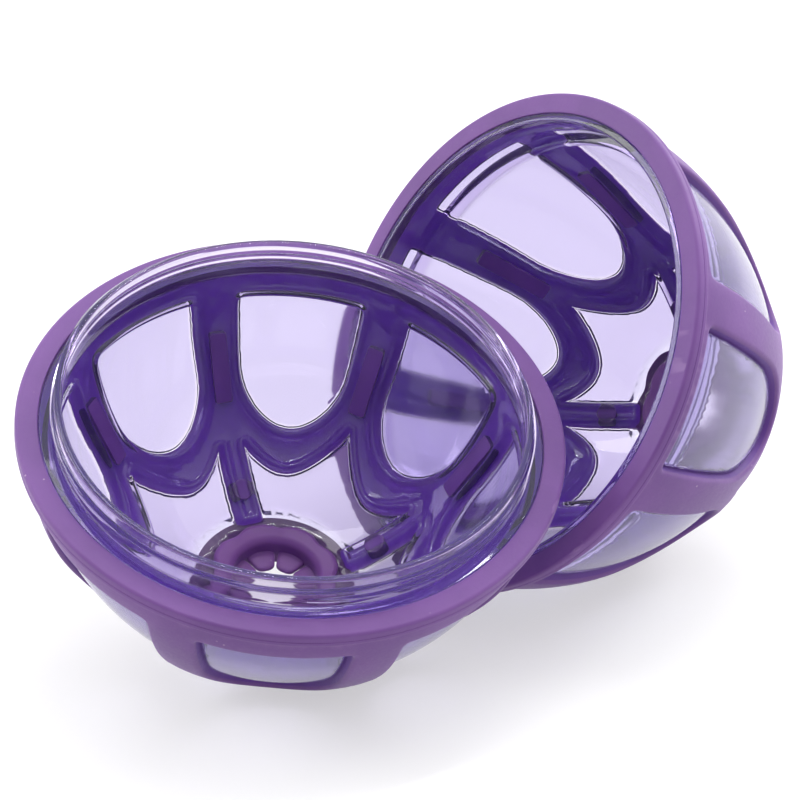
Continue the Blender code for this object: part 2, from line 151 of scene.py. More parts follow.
def rubber_material(name, deep, pale, rough=(0.46, 0.6), dust=0.35):
    """Moulded soft rubber: a satin grain, cloudy colour, paler worn edges and
    a little dust."""
    mat, nt, bsdf, vec = new_material(name)
    cloud = noise(nt, vec, 38.0, 3.0, 0.55)
    colour = mix(nt, remap(nt, cloud, 0.35, 0.65, 0.0, 1.0), deep, pale)
    geo = nt.nodes.new("ShaderNodeNewGeometry")
    worn = remap(nt, geo.outputs["Pointiness"], 0.515, 0.575, 0.0, 0.22)
    worn = math_node(nt, "MULTIPLY", worn, remap(nt, noise(nt, vec, 150.0, 3.0), 0.35, 0.6, 0.25, 1.0))
    colour = mix(nt, worn, colour, (0.50, 0.33, 0.60))
    spots = nt.nodes.new("ShaderNodeTexVoronoi")
    spots.inputs["Scale"].default_value = 330.0
    nt.links.new(vec, spots.inputs["Vector"])
    fleck = remap(nt, spots.outputs["Distance"], 0.05, 0.10, 1.0, 0.0)
    patch = remap(nt, noise(nt, vec, 75.0, 2.0), 0.55, 0.68, 0.0, dust)
    colour = mix(nt, math_node(nt, "MULTIPLY", fleck, patch), colour, (0.62, 0.50, 0.64))
    nt.links.new(colour, bsdf.inputs["Base Color"])
    grain = noise(nt, vec, 1500.0, 3.0, 0.6)
    nt.links.new(remap(nt, math_node(nt, "ADD", grain, math_node(nt, "MULTIPLY", cloud, 0.6)),
                       0.55, 1.05, rough[0], rough[1]), bsdf.inputs["Roughness"])
    soft = bump(nt, noise(nt, vec, 170.0, 2.0), 0.00016, 0.45)
    nt.links.new(bump(nt, grain, 0.00005, 0.55, soft), bsdf.inputs["Normal"])
    bsdf.inputs["Specular IOR Level"].default_value = 0.38
    bsdf.inputs["Subsurface Weight"].default_value = 0.10
    bsdf.inputs["Subsurface Radius"].default_value = (0.9, 0.35, 1.0)
    bsdf.inputs["Subsurface Scale"].default_value = 0.002
    bsdf.inputs["Sheen Weight"].default_value = 0.22
    bsdf.inputs["Sheen Roughness"].default_value = 0.42
    bsdf.inputs["Sheen Tint"].default_value = (0.85, 0.75, 1.0, 1.0)
    return mat


def clear_material(name, thin, deep):
    """Tinted clear moulding: faint flow clouds, slow waviness, fine scuffs."""
    mat, nt, bsdf, vec = new_material(name)
    cloud = noise(nt, vec, 16.0, 2.0, 0.5, 0.6)
    mark = nt.nodes.new("ShaderNodeAttribute")
    mark.attribute_name = "pane"
    pane = mark.outputs["Fac"]
    colour = mix(nt, remap(nt, cloud, 0.3, 0.7, 0.0, 1.0), thin, deep)
    nt.links.new(mix(nt, pane, colour, (0.66, 0.64, 0.88)), bsdf.inputs["Base Color"])
    stretch = nt.nodes.new("ShaderNodeMapping")
    stretch.inputs["Scale"].default_value = (1.0, 0.12, 0.3)
    stretch.inputs["Rotation"].default_value = (0.4, 0.7, 0.9)
    nt.links.new(vec, stretch.inputs["Vector"])
    scuff = noise(nt, stretch.outputs["Vector"], 1300.0, 3.0, 0.7)
    haze = math_node(nt, "MULTIPLY", remap(nt, scuff, 0.58, 0.74, 0.0, 1.0),
                     remap(nt, noise(nt, vec, 55.0, 2.0), 0.48, 0.62, 0.0, 1.0))
    rough = math_node(nt, "ADD", remap(nt, haze, 0.0, 1.0, 0.035, 0.16, False), math_node(nt, "MULTIPLY", pane, 0.10))
    nt.links.new(rough, bsdf.inputs["Roughness"])
    wave = bump(nt, noise(nt, vec, 30.0, 1.0), 0.0005, 0.04)
    nt.links.new(wave, bsdf.inputs["Normal"])
    # the panes are a little milky from handling
    nt.links.new(remap(nt, pane, 0.0, 1.0, 0.98, 0.86, False), bsdf.inputs["Transmission Weight"])
    bsdf.inputs["IOR"].default_value = 1.47
    # the tint grows with the way through the plastic
    tint = nt.nodes.new("ShaderNodeVolumeAbsorption")
    tint.inputs["Color"].default_value = (0.32, 0.05, 0.66, 1.0)
    tint.inputs["Density"].default_value = 100.0
    nt.links.new(tint.outputs["Volume"], nt.nodes["Material Output"].inputs["Volume"])
    return mat


RUBBER = rubber_material("tpr_purple", (0.160, 0.060, 0.270), (0.195, 0.078, 0.315), dust=0.6)
RUBBER_IN = rubber_material("tpr_purple_inner", (0.185, 0.065, 0.280), (0.225, 0.085, 0.325), dust=0.15)
# the ribs' bed faces, seen through the plastic, are painted brighter and bluer: painted light shining through the
# rubber
BED_PAINTED_GLOW = rubber_material("tpr_bed_painted_glow", (0.330, 0.115, 0.800), (0.400, 0.145, 0.900), dust=0.0)
# the wall keys and the ribs' side walls take a darker copy of the rubber: painted shade in the recesses and inside
# the wall
KEYS_WALLS_PAINTED_SHADE = rubber_material("tpr_keys_walls_painted_shade", (0.120, 0.040, 0.270), (0.150, 0.052, 0.330), dust=0.1)
CLEAR = clear_material("clear_lavender", (0.95, 0.94, 0.98), (0.91, 0.89, 0.96))


# ------------------------------------------------------------------ geometry
class Dome:
    """Outer surface of a half: (r/R)^2 + (z/H)^q = 1, followed by depth z."""

    def __init__(self, radius, depth, power):
        t = np.sin(np.linspace(0.0, 1.0, 6001) * math.pi / 2)
        self.z = depth * t
        self.r = radius * np.sqrt(np.clip(1.0 - t ** power, 0.0, 1.0))
        step = np.hypot(np.diff(self.z), np.diff(self.r))
        self.s = np.concatenate([[0.0], np.cumsum(step)])
        self.length = float(self.s[-1])
        self.nr = np.gradient(self.z, self.s)
        self.nz = -np.gradient(self.r, self.s)

    def s_of_z(self, z):
        return np.interp(z, self.z, self.s)

    def s_of_r(self, r):
        return np.interp(-np.asarray(r, float), -self.r, self.s)

    def rz(self, s, h=0.0):
        r = np.interp(s, self.s, self.r) + h * np.interp(s, self.s, self.nr)
        z = np.interp(s, self.s, self.z) + h * np.interp(s, self.s, self.nz)
        return r, -z

    def points(self, s, ang, h=0.0):
        r, z = self.rz(s, h)
        return np.stack([r * np.cos(ang), r * np.sin(ang), z + 0 * ang], -1)

    def normals(self, s, ang):
        nr, nz = np.interp(s, self.s, self.nr), np.interp(s, self.s, self.nz)
        out = np.stack([nr * np.cos(ang), nr * np.sin(ang), -nz], -1)
        return out / np.linalg.norm(out, axis=-1, keepdims=True)

    def normal(self, s, ang):
        nr = float(np.interp(s, self.s, self.nr))
        nz = float(np.interp(s, self.s, self.nz))
        return Vector((nr * math.cos(ang), nr * math.sin(ang), -nz)).normalized()


def half_matrix(h):
    return (Matrix.Translation(Vector(h["at"]))
            @ Matrix.Rotation(math.radians(h["heading"]), 4, "Z")
            @ Matrix.Rotation(math.radians(h["lean"]), 4, "Y")
            @ Matrix.Rotation(math.radians(h["turn"]), 4, "Z"))


def add_piece(name, verts, faces, matrix, mat, sharp=40.0, more=(), slots=None, normals=None, pane=None):
    m = np.array(matrix)
    v = (np.asarray(verts, float) @ m[:3, :3].T + m[:3, 3]) * MM
    me = bpy.data.meshes.new(name)
    me.from_pydata(v.tolist(), [], [tuple(int(i) for i in f) for f in faces])
    me.validate()
    if slots is not None and len(slots) == len(me.polygons):
        me.polygons.foreach_set("material_index", np.asarray(slots, np.int32))
    bm = bmesh.new()
    bm.from_mesh(me)
    bmesh.ops.recalc_face_normals(bm, faces=bm.faces[:])
    if bm.calc_volume(signed=True) < 0:
        bmesh.ops.reverse_faces(bm, faces=bm.faces[:])
    bm.to_mesh(me)
    bm.free()
    me.shade_smooth()
    me.set_sharp_from_angle(angle=math.radians(sharp))
    me.materials.append(mat)
    for other in more:
        me.materials.append(other)
    if normals is not None:
        # a zero vector keeps the mesh's own normal
        me.normals_split_custom_set_from_vertices((np.asarray(normals) @ m[:3, :3].T).tolist())
    if pane is not None:
        me.attributes.new("pane", "FLOAT", "POINT").data.foreach_set("value", np.asarray(pane, np.float32))
    ob = bpy.data.objects.new(name, me)
    bpy.context.scene.collection.objects.link(ob)
    return ob


def grid_rows(rows):
    """Closed tube of rings: rows is a list of (n, 3) arrays, joined in order
    and the last to the first."""
    n = len(rows[0])
    verts = np.concatenate(rows)
    i, j = np.meshgrid(np.arange(len(rows)), np.arange(n), indexing="ij")
    i2, j2 = (i + 1) % len(rows), (j + 1) % n
    faces = np.stack([i * n + j, i * n + j2, i2 * n + j2, i2 * n + j], -1).reshape(-1, 4)
    return verts, faces


def rounded(points, radii, steps=5):
    """Closed outline with its corners rounded."""
    out = []
    n = len(points)
    for i in range(n):
        p = np.array(points[i], float)
        a = np.array(points[i - 1], float) - p
        b = np.array(points[(i + 1) % n], float) - p
        r = min(radii[i], 0.46 * np.linalg.norm(a), 0.46 * np.linalg.norm(b))
        if r <= 1e-6:
            out.append(p)
            continue
        p0, p2 = p + a / np.linalg.norm(a) * r, p + b / np.linalg.norm(b) * r
        for k in range(steps + 1):
            t = k / steps
            out.append((1 - t) ** 2 * p0 + 2 * t * (1 - t) * p + t * t * p2)
    return out


def lathe_rows(profile, ang, scale=None):
    rows = []
    for i, (r, z) in enumerate(profile):
        k = 1.0 if scale is None else scale(r, z, ang)
        rows.append(np.stack([r * k * np.cos(ang), r * k * np.sin(ang), z + 0 * ang], -1))
    return rows


def smoothstep(x, a, b):
    t = np.clip((x - a) / (b - a), 0.0, 1.0)
    return t * t * (3 - 2 * t)


# ---------------------------------------------------------------- cage layout
def arch_depth(h, delta):
    k = np.sqrt(np.clip(1.0 - (delta / ARCH_HALF) ** 2, 0.0, 1.0))
    return h["arch_side"] + (h["arch_tip"] - h["arch_side"]) * k


def window_outline(dome, h, centre):
    s_top, s_side, s_tip = (float(dome.s_of_z(h[k])) for k in ("top", "side", "tip"))
    pts = [(s_top, centre + WINDOW_HALF * x) for x in np.linspace(-1, 1, 24)]
    pts += [(s, centre + WINDOW_HALF) for s in np.linspace(s_top, s_side, 24)[1:]]
    for t in np.linspace(0, math.pi, 60)[1:]:
        pts.append((s_side + (s_tip - s_side) * math.sin(t), centre + WINDOW_HALF * math.cos(t)))
    pts += [(s, centre - WINDOW_HALF) for s in np.linspace(s_side, s_top, 24)[1:-1]]
    return pts


def pole_outline(dome, h):
    """Pole side edge of the cage: arches, notches and four radial bars."""
    pts = []
    half = PITCH / 2
    s_hub = float(dome.s_of_r(FLANGE_R - 1.2))
    for bar in range(PETALS // 2):
        mid = half + bar * 2 * PITCH
        a_hub = math.asin(BAR_HALF_W / float(dome.rz(s_hub)[0]))
        pts += [(s_hub, mid + x * a_hub) for x in np.linspace(-1, 1, 9)]
        d = 0.0
        for step in range(800):
            d = math.radians(step * 0.025)
            s = float(dome.s_of_z(arch_depth(h, half - d)))
            if float(dome.rz(s)[0]) * math.sin(d) >= BAR_HALF_W:
                break
        s_root = float(dome.s_of_z(arch_depth(h, half - d)))
        up = np.linspace(s_hub, s_root, 24)[1:-1]
        pts += [(s, mid + math.asin(BAR_HALF_W / float(dome.rz(s)[0]))) for s in up]
        for petal in range(2):
            c = mid + half + petal * PITCH
            first = -half + d if petal == 0 else -half
            last = half if petal == 0 else half - d
            for x in np.linspace(first, last, 60)[:-1]:
                pts.append((float(dome.s_of_z(arch_depth(h, x))), c + x))
        pts.append((s_root, mid + 2 * PITCH - d))
        pts += [(s, mid + 2 * PITCH - math.asin(BAR_HALF_W / float(dome.rz(s)[0]))) for s in up[::-1]]
    return pts


def to_flat(dome, sa):
    q = dome.length - sa[:, 0]
    return np.stack([q * np.cos(sa[:, 1]), q * np.sin(sa[:, 1])], -1)


def from_flat(dome, xy):
    return np.stack([dome.length - np.hypot(xy[:, 0], xy[:, 1]), np.arctan2(xy[:, 1], xy[:, 0])], -1)


def even_loop(dome, pts, spacing, soften):
    """Resamples an outline at an even spacing and rounds its corners."""
    sa = np.array(pts, float)
    nxt = np.roll(sa, -1, 0)
    da = (nxt[:, 1] - sa[:, 1] + math.pi) % TAU - math.pi
    seg = np.hypot(nxt[:, 0] - sa[:, 0], dome.rz(sa[:, 0])[0] * da)
    cum = np.concatenate([[0.0], np.cumsum(seg)])
    n = int(round(cum[-1] / spacing))
    xy = to_flat(dome, sa)
    xy = np.concatenate([xy, xy[:1]])
    t = np.linspace(0, cum[-1], n, endpoint=False)
    flat = np.stack([np.interp(t, cum, xy[:, k]) for k in (0, 1)], -1)
    kernel = np.arange(-12, 13) * spacing
    kernel = np.exp(-0.5 * (kernel / soften) ** 2)
    kernel /= kernel.sum()
    out = sum(w * np.roll(flat, k - 12, 0) for k, w in enumerate(kernel))
    area = np.sum(out[:, 0] * np.roll(out[:, 1], -1) - out[:, 1] * np.roll(out[:, 0], -1))
    return out if area > 0 else out[::-1]


def grown_loop(dome, flat, d):
    """The outline moved d into the rubber, measured on the dome."""
    q = np.hypot(flat[:, 0], flat[:, 1])
    a = np.arctan2(flat[:, 1], flat[:, 0])
    tan = np.roll(flat, -1, 0) - np.roll(flat, 1, 0)
    eq = np.stack([np.cos(a), np.sin(a)], -1)
    ea = np.stack([-np.sin(a), np.cos(a)], -1)
    r = dome.rz(dome.length - q)[0]
    tq = (tan * eq).sum(1)
    ta = (tan * ea).sum(1) * r / q
    ln = np.hypot(tq, ta)
    q2 = q + d * ta / ln
    a2 = a - d * tq / ln / r
    return np.stack([q2 * np.cos(a2), q2 * np.sin(a2)], -1)


def in_loop(loop, p):
    x, y = p[:, 0][:, None], p[:, 1][:, None]
    x0, y0 = loop[:, 0], loop[:, 1]
    x1, y1 = np.roll(x0, -1), np.roll(y0, -1)
    cross = (y0 > y) != (y1 > y)
    with np.errstate(divide="ignore", invalid="ignore"):
        hit = x < (x1 - x0) * (y - y0) / (y1 - y0) + x0
    return (cross & hit).sum(1) % 2 == 1


def loop_distance(loops, p):
    """Distance from each point to the nearest outline point."""
    pts = np.concatenate(loops)
    best = np.full(len(p), 1e9)
    for k in range(0, len(p), 2000):
        d = p[k:k + 2000, None, :] - pts[None]
        best[k:k + 2000] = np.sqrt((d ** 2).sum(-1).min(1))
    return best


def rubber_depth(loops, p):
    """Distance into the rubber, negative where there is none."""
    bare = np.zeros(len(p), bool)
    for loop in loops:
        bare |= in_loop(loop, p)
    return np.where(bare, -1.0, 1.0) * loop_distance(loops, p)


# ------------------------------------------------------------------- pieces
def shell_rows(h, dome):
    """Rings of the shell apart from its two skins: from the inner skin over
    the mouth to the outer skin, and the two edges of the pole hole."""
    seg = 300
    ang = np.arange(seg) * TAU / seg
    c, s_ = np.cos(ang), np.sin(ang)
    ring = lambda r, z: np.stack([r * c, r * s_, z + 0 * ang], -1)
    in_top, out_top = h["joins"]
    rows = [ring(*dome.rz(float(dome.s_of_z(in_top)), -WALL))]
    if h["neck"]:
        for r, z in rounded([(55.0, -6.0), (NECK_R_IN + 0.25, -1.6), (NECK_R_IN, 0.2)], (0, 1.6, 0))[1:-1]:
            rows.append(ring(r, z))
        for z in np.linspace(0.6, NECK_H - 0.9, 5):
            rows.append(ring(NECK_R_IN, z))
        lip = rounded([(NECK_R_IN, 6.0), (NECK_R_IN, NECK_H), (NECK_R_OUT, NECK_H), (NECK_R_OUT, 6.0)],
                      (0, 0.75, 0.75, 0), 6)[1:-1]
        for r, z in lip:
            rows.append(ring(r, z))
        # one and three quarter turns of thread, run out at both ends
        turns, pitch, low = 1.75, 2.9, 1.5
        for z in np.linspace(NECK_H - 1.3, 0.3, 34):
            rise = np.zeros(seg)
            for k in range(-1, 3):
                t = ang / TAU + k
                mid = low + pitch * t
                taper = smoothstep(t, 0.0, 0.09) * (1 - smoothstep(t, turns - 0.09, turns))
                d = np.abs(z - mid)
                rise = np.maximum(rise, taper * (1 - smoothstep(d, 0.28, 0.82)))
            rr = NECK_R_OUT + (THREAD_R - NECK_R_OUT) * rise
            rows.append(np.stack([rr * c, rr * s_, z + 0 * ang], -1))
        for r, z in rounded([(NECK_R_OUT, 0.3), (NECK_R_OUT, -0.4), (SHELL_R - 0.1, -0.4), (SHELL_R, -1.0)],
                            (0, 0.35, 0.3, 0), 4)[1:-1]:
            rows.append(ring(r, z))
    else:
        for r, z in rounded([(STOP_R + 0.3, -15.4), (STOP_R - 0.9, -12.9),
                             (STOP_R - 0.9, -SOCKET_DEPTH), (SOCKET_R, -SOCKET_DEPTH + 0.1),
                             (SOCKET_R, -8.5)], (0, 1.0, 0.7, 0.3, 0), 6)[1:-1]:
            rows.append(ring(r, z))
        # four lengths of inner thread, each run out at both ends
        for z in np.linspace(-9.2, -1.2, 30):
            rise = np.zeros(seg)
            for k in range(4):
                t = (ang / TAU - k / 4.0) % 1.0
                mid = -5.4 + 2.4 * t / 0.19
                taper = smoothstep(t, 0.0, 0.02) * (1 - smoothstep(t, 0.17, 0.19))
                d = np.abs(z - mid)
                rise = np.maximum(rise, taper * (1 - smoothstep(d, 0.3, 0.85)))
            rr = SOCKET_R - 0.95 * rise
            rows.append(np.stack([rr * c, rr * s_, z + 0 * ang], -1))
        for r, z in rounded([(SOCKET_R, -1.2), (SOCKET_R, -0.15), (SHELL_R - 0.05, -0.15), (SHELL_R, -0.8)],
                            (0, 0.45, 0.3, 0), 4)[1:-1]:
            rows.append(ring(r, z))
    for z in np.linspace(1.2, out_top, 6):
        rows.append(ring(*dome.rz(float(dome.s_of_z(z)))))
    s_pole = float(dome.s_of_r(POLE_R))
    return rows, [ring(*dome.rz(s_pole)), ring(POLE_R, dome.rz(s_pole, -WALL)[1])]


def skin(dome, loops, s_top, s_pole, first, last, start, offsets, height):
    """Skin of the shell between two rings of points, laid out flat and filled
    with triangles that follow the rubber's outline at the given offsets.
    first and last are the rings' indices, start the first free one; height
    gives the distance off the dome from (depth into rubber, s, at the pole)."""
    n = len(first)
    ang = np.arange(n) * TAU / n
    rings = [to_flat(dome, np.stack([np.full(n, s), ang], -1)) for s in (s_top, s_pole)]
    q0, q1 = float(np.hypot(*rings[1][0])), float(np.hypot(*rings[0][0]))
    coords, edges, off = [], [], 0
    for ring in rings:
        coords.append(ring)
        edges += [(off + i, off + (i + 1) % n) for i in range(n)]
        off += n
    for loop in loops:
        for d in offsets:
            flat = grown_loop(dome, loop, d)
            q = np.hypot(flat[:, 0], flat[:, 1])
            keep = (q > q0 + 0.5) & (q < q1 - 0.4)
            index = np.cumsum(keep) - 1 + off
            m = len(flat)
            edges += [(int(index[i]), int(index[(i + 1) % m])) for i in range(m)
                      if keep[i] and keep[(i + 1) % m]]
            coords.append(flat[keep])
            off += int(keep.sum())
    step = 1.8
    pts = []
    for j, y in enumerate(np.arange(-q1, q1, step * 0.866)):
        x = np.arange(-q1, q1, step) + (j % 2) * step / 2
        pts.append(np.stack([x, np.full(len(x), y)], -1))
    pts = np.concatenate(pts)
    q = np.hypot(pts[:, 0], pts[:, 1])
    pts = pts[(q < q1 - 0.9) & (q > q0 + 0.9)]
    depth = rubber_depth(loops, pts)
    coords.append(pts[(depth < 1.3 * min(offsets[0], 0.0) - 0.8) | (depth > 1.45 * max(offsets[-1], 0.0) + 0.8)])
    res = delaunay_2d_cdt([Vector(p) for p in np.concatenate(coords)], edges, [], 0, 1e-6)
    out = np.array([(v.x, v.y) for v in res[0]])
    tris = np.array([t for t in res[2] if len(t) == 3])
    mid_q = np.hypot(*out[tris].mean(1).T)
    tris = tris[(mid_q > q0 * 1.0002) & (mid_q < q1)]
    # true distance from the rubber's edge, on the dome
    edge_pts = []
    for loop in loops:
        nxt = np.roll(loop, -1, 0)
        fine = np.concatenate([loop + (nxt - loop) * k / 5.0 for k in range(5)])
        sa = from_flat(dome, fine)
        edge_pts.append(dome.points(sa[:, 0], sa[:, 1]))
    edge_pts = np.concatenate(edge_pts)
    tree = KDTree(len(edge_pts))
    for i, p in enumerate(edge_pts):
        tree.insert(p, i)
    tree.balance()
    sa = from_flat(dome, out)
    dist = np.array([tree.find(p)[2] for p in dome.points(sa[:, 0], sa[:, 1])])
    bare = np.zeros(len(out), bool)
    for loop in loops:
        pole = in_loop(loop, out)
        bare |= pole
    depth = np.where(bare, -dist, dist)
    off_dome, even = height(depth, sa[:, 0], pole)
    verts = dome.points(sa[:, 0], sa[:, 1], off_dome)
    normals = dome.normals(sa[:, 0], sa[:, 1]) * np.where(even, np.sign(off_dome + 1e-9), 0.0)[:, None]
    # the two rings are those of the lathe
    index = np.full(len(out), -1)
    for new, olds in enumerate(res[3]):
        for o in olds:
            if o < n:
                index[new] = first[o]
            elif o < 2 * n:
                index[new] = last[o - n]
    free = np.flatnonzero(index < 0)
    index[free] = np.arange(len(free)) + start
    return verts[free], [tuple(int(i) for i in t) for t in index[tris]], normals[free], depth[free]


def shell_mesh(h, dome, loops):
    """The whole clear shell: lathed mouth and pole edge, and both skins."""
    mouth, pole = shell_rows(h, dome)
    n = len(mouth[0])
    mouth_v, mouth_f = grid_rows(mouth)
    pole_v, pole_f = grid_rows(pole)
    ring = np.arange(n)
    s_pole = float(dome.s_of_r(POLE_R))

    # both give the height off the dome, and where it is even
    def inside(depth, s, at_pole):
        r, z = dome.rz(s)
        full = smoothstep(-z, *h["fade"]) * smoothstep(r, LOBE_R + 0.6, LOBE_R + 2.0)
        up = np.interp(depth, BEAD_AT, BEAD_UP) * full
        return -(WALL + up), (full == 1.0) & (depth < BEAD_AT[0] - 0.02)

    def outside(depth, s, at_pole):
        up = np.interp(depth, PANE_AT, PANE_UP)
        near = smoothstep(dome.rz(s)[0], FLANGE_R + 0.5, FLANGE_R + 2.4)
        return up * np.where(at_pole, POLE_PANE * near, 1.0), (depth < PANE_AT[0] - 0.02) & (near == 1.0)

    parts, normals = [mouth_v, pole_v], [np.zeros((len(mouth_v) + len(pole_v), 3))]
    panes = [np.zeros(len(mouth_v) + len(pole_v))]
    faces = [tuple(f) for f in mouth_f[:-n]] + [tuple(f + len(mouth_v)) for f in pole_f[:-n]]
    start = len(mouth_v) + len(pole_v)
    in_top, out_top = h["joins"]
    for top, mouth_ring, pole_ring, offsets, height in (
            (in_top, ring, ring + len(mouth_v) + n, BEAD_AT, inside),
            (out_top, ring + (len(mouth) - 1) * n, ring + len(mouth_v), PANE_AT, outside)):
        v, f, n_v, depth = skin(dome, loops, float(dome.s_of_z(top)), s_pole, mouth_ring, pole_ring, start, offsets, height)
        parts.append(v)
        normals.append(n_v)
        panes.append(smoothstep(-depth, 0.6, 1.6) * (height is outside))
        faces += f
        start += len(v)
    return np.concatenate(parts), faces, np.concatenate(normals), np.concatenate(panes)


def cage_mesh(dome, h, loops):
    """Rubber petals: top skin with rounded edges, walls, and a bed in the
    shell's surface."""
    round_r = 1.05
    offsets = [0.0, 0.12, 0.32, 0.62, round_r]
    lift = [RUBBER_H - round_r + math.sqrt(max(0.0, round_r ** 2 - (round_r - o) ** 2)) for o in offsets]
    n_ring = 300
    s_top = float(dome.s_of_z(BUMPER_T - 0.15))
    ring_a = np.arange(n_ring) * TAU / n_ring
    rim = to_flat(dome, np.stack([np.full(n_ring, s_top), ring_a], -1))
    inner = [grown_loop(dome, loop, round_r) for loop in loops]
    # even points over the flat layout
    step = 2.1
    lim = float(np.hypot(*rim[0]))
    rowsy = np.arange(-lim, lim, step * 0.866)
    pts = []
    for j, y in enumerate(rowsy):
        x = np.arange(-lim, lim, step) + (j % 2) * step / 2
        pts.append(np.stack([x, np.full(len(x), y)], -1))
    pts = np.concatenate(pts)
    pts = pts[np.hypot(pts[:, 0], pts[:, 1]) < lim - 1.0]
    depth = rubber_depth(loops, pts)
    pts = pts[depth > round_r * 1.6 + 0.6]
    coords = [rim] + inner + [pts]
    edges, off = [], 0
    for loop in [rim] + inner:
        n = len(loop)
        edges += [(off + i, off + (i + 1) % n) for i in range(n)]
        off += n
    allp = np.concatenate(coords)
    res = delaunay_2d_cdt([Vector(p) for p in allp], edges, [], 1, 1e-6)
    out = np.array([(v.x, v.y) for v in res[0]])
    tris = np.array([t for t in res[2] if len(t) == 3])
    mids = out[tris].mean(1)
    keep = np.hypot(mids[:, 0], mids[:, 1]) < lim
    for loop in inner:
        keep &= ~in_loop(loop, mids)
    tris = tris[keep]
    # where every loop point ended up
    where = {}
    for new, olds in enumerate(res[3]):
        for o in olds:
            where[o] = new
    dist = rubber_depth(loops, out)
    h_top = RUBBER_H + 0.12 * smoothstep(dist, round_r, 5.0)
    for o in range(off):
        if o >= n_ring:
            h_top[where[o]] = RUBBER_H
    bed = -0.12

    def place(flat, height):
        sa = from_flat(dome, flat)
        return dome.points(sa[:, 0], sa[:, 1], height)

    verts = [place(out, h_top), place(out, bed)]
    n = len(out)
    faces = [tuple(t) for t in tris] + [tuple(t[::-1] + n) for t in tris]
    # the bed faces take the second material, with painted light through the rubber
    slots = [0] * len(tris) + [1] * len(tris)
    count = 2 * n
    # rim wall
    for i in range(n_ring):
        a, b = where[i], where[(i + 1) % n_ring]
        faces.append((a, b, b + n, a + n))
    slots += [0] * n_ring
    base = n_ring
    for loop, grown in zip(loops, inner):
        m = len(loop)
        inner_idx = np.array([where[base + i] for i in range(m)])
        base += m
        prev = inner_idx
        for o, z in list(zip(offsets, lift))[-2::-1]:
            flat = grown_loop(dome, loop, o) if o > 0 else loop
            verts.append(place(flat, z))
            cur = np.arange(count, count + m)
            count += m
            for i in range(m):
                j = (i + 1) % m
                faces.append((prev[i], prev[j], cur[j], cur[i]))
            slots += [0] * m
            prev = cur
        # wall down to the shell, with a slight draft, in the darker copy of the rubber: painted shade in the recess
        for z, o in ((1.1, -0.10), (0.25, -0.22), (bed, -0.45)):
            verts.append(place(grown_loop(dome, loop, o), z))
            cur = np.arange(count, count + m)
            count += m
            for i in range(m):
                j = (i + 1) % m
                faces.append((prev[i], prev[j], cur[j], cur[i]))
            slots += [2] * m
            prev = cur
        for i in range(m):
            j = (i + 1) % m
            faces.append((prev[i], prev[j], inner_idx[j] + n, inner_idx[i] + n))
        slots += [1] * m
    return np.concatenate(verts), faces, slots


def key_mesh(dome, ang, half_w, z0, z1, h0, h1):
    """Rounded bar of rubber through the wall, along a meridian."""
    s0, s1 = float(dome.s_of_z(z0)), float(dome.s_of_z(z1))
    mid, half = (s0 + s1) / 2, (s1 - s0) / 2
    outline = rounded([(-half, -half_w), (half, -half_w), (half, half_w), (-half, half_w)], (0.8,) * 4, 4)
    n = len(outline)
    verts, faces = [], []
    levels = ((h0 + 0.25, 0.0), (h0 + 0.06, 0.08), (h0, 0.3))
    for hh, inset in ((h1, 0.0),) + levels:
        for u, v in outline:
            k_u = (half - inset) / half
            k_v = (half_w - inset) / half_w
            s = mid + u * k_u
            r = float(dome.rz(s, hh)[0])
            verts.append(dome.points(np.array(s), np.array(ang + v * k_v / r), hh))
    for k in range(len(levels)):
        for i in range(n):
            j = (i + 1) % n
            faces.append((k * n + i, k * n + j, (k + 1) * n + j, (k + 1) * n + i))
    # each end is closed by one face over its outline; the flush end's outline follows the dome
    for start in (0, len(levels) * n):
        faces.append(tuple(range(start, start + n)))
    return np.array(verts), faces


def disc_mesh(dome, ang, radius_at, rad, h0, h1, sides=40):
    s = float(dome.s_of_r(radius_at))
    p = Vector(dome.points(np.array(s), np.array(ang), 0.0))
    nrm = dome.normal(s, ang)
    u = Vector((-math.sin(ang), math.cos(ang), 0.0))
    v = nrm.cross(u)
    verts, faces = [], []
    levels = [(h1, rad), (h0 + 0.35, rad), (h0 + 0.12, rad - 0.08), (h0, rad - 0.35), (h0 + 0.12, rad - 0.9)]
    for hh, r in levels:
        for k in range(sides):
            a = TAU * k / sides
            verts.append(p + nrm * hh + (u * math.cos(a) + v * math.sin(a)) * r)
    for k in range(len(levels) - 1):
        for i in range(sides):
            j = (i + 1) % sides
            faces.append((k * sides + i, k * sides + j, (k + 1) * sides + j, (k + 1) * sides + i))
    faces.append(tuple(range(sides)))
    faces.append(tuple(range((len(levels) - 1) * sides, len(levels) * sides)))
    return np.array([tuple(x) for x in verts]), faces


def join(parts):
    verts, faces, off = [], [], 0
    for v, f in parts:
        verts.append(v)
        faces += [tuple(int(i) + off for i in face) for face in f]
        off += len(v)
    return np.concatenate(verts), faces


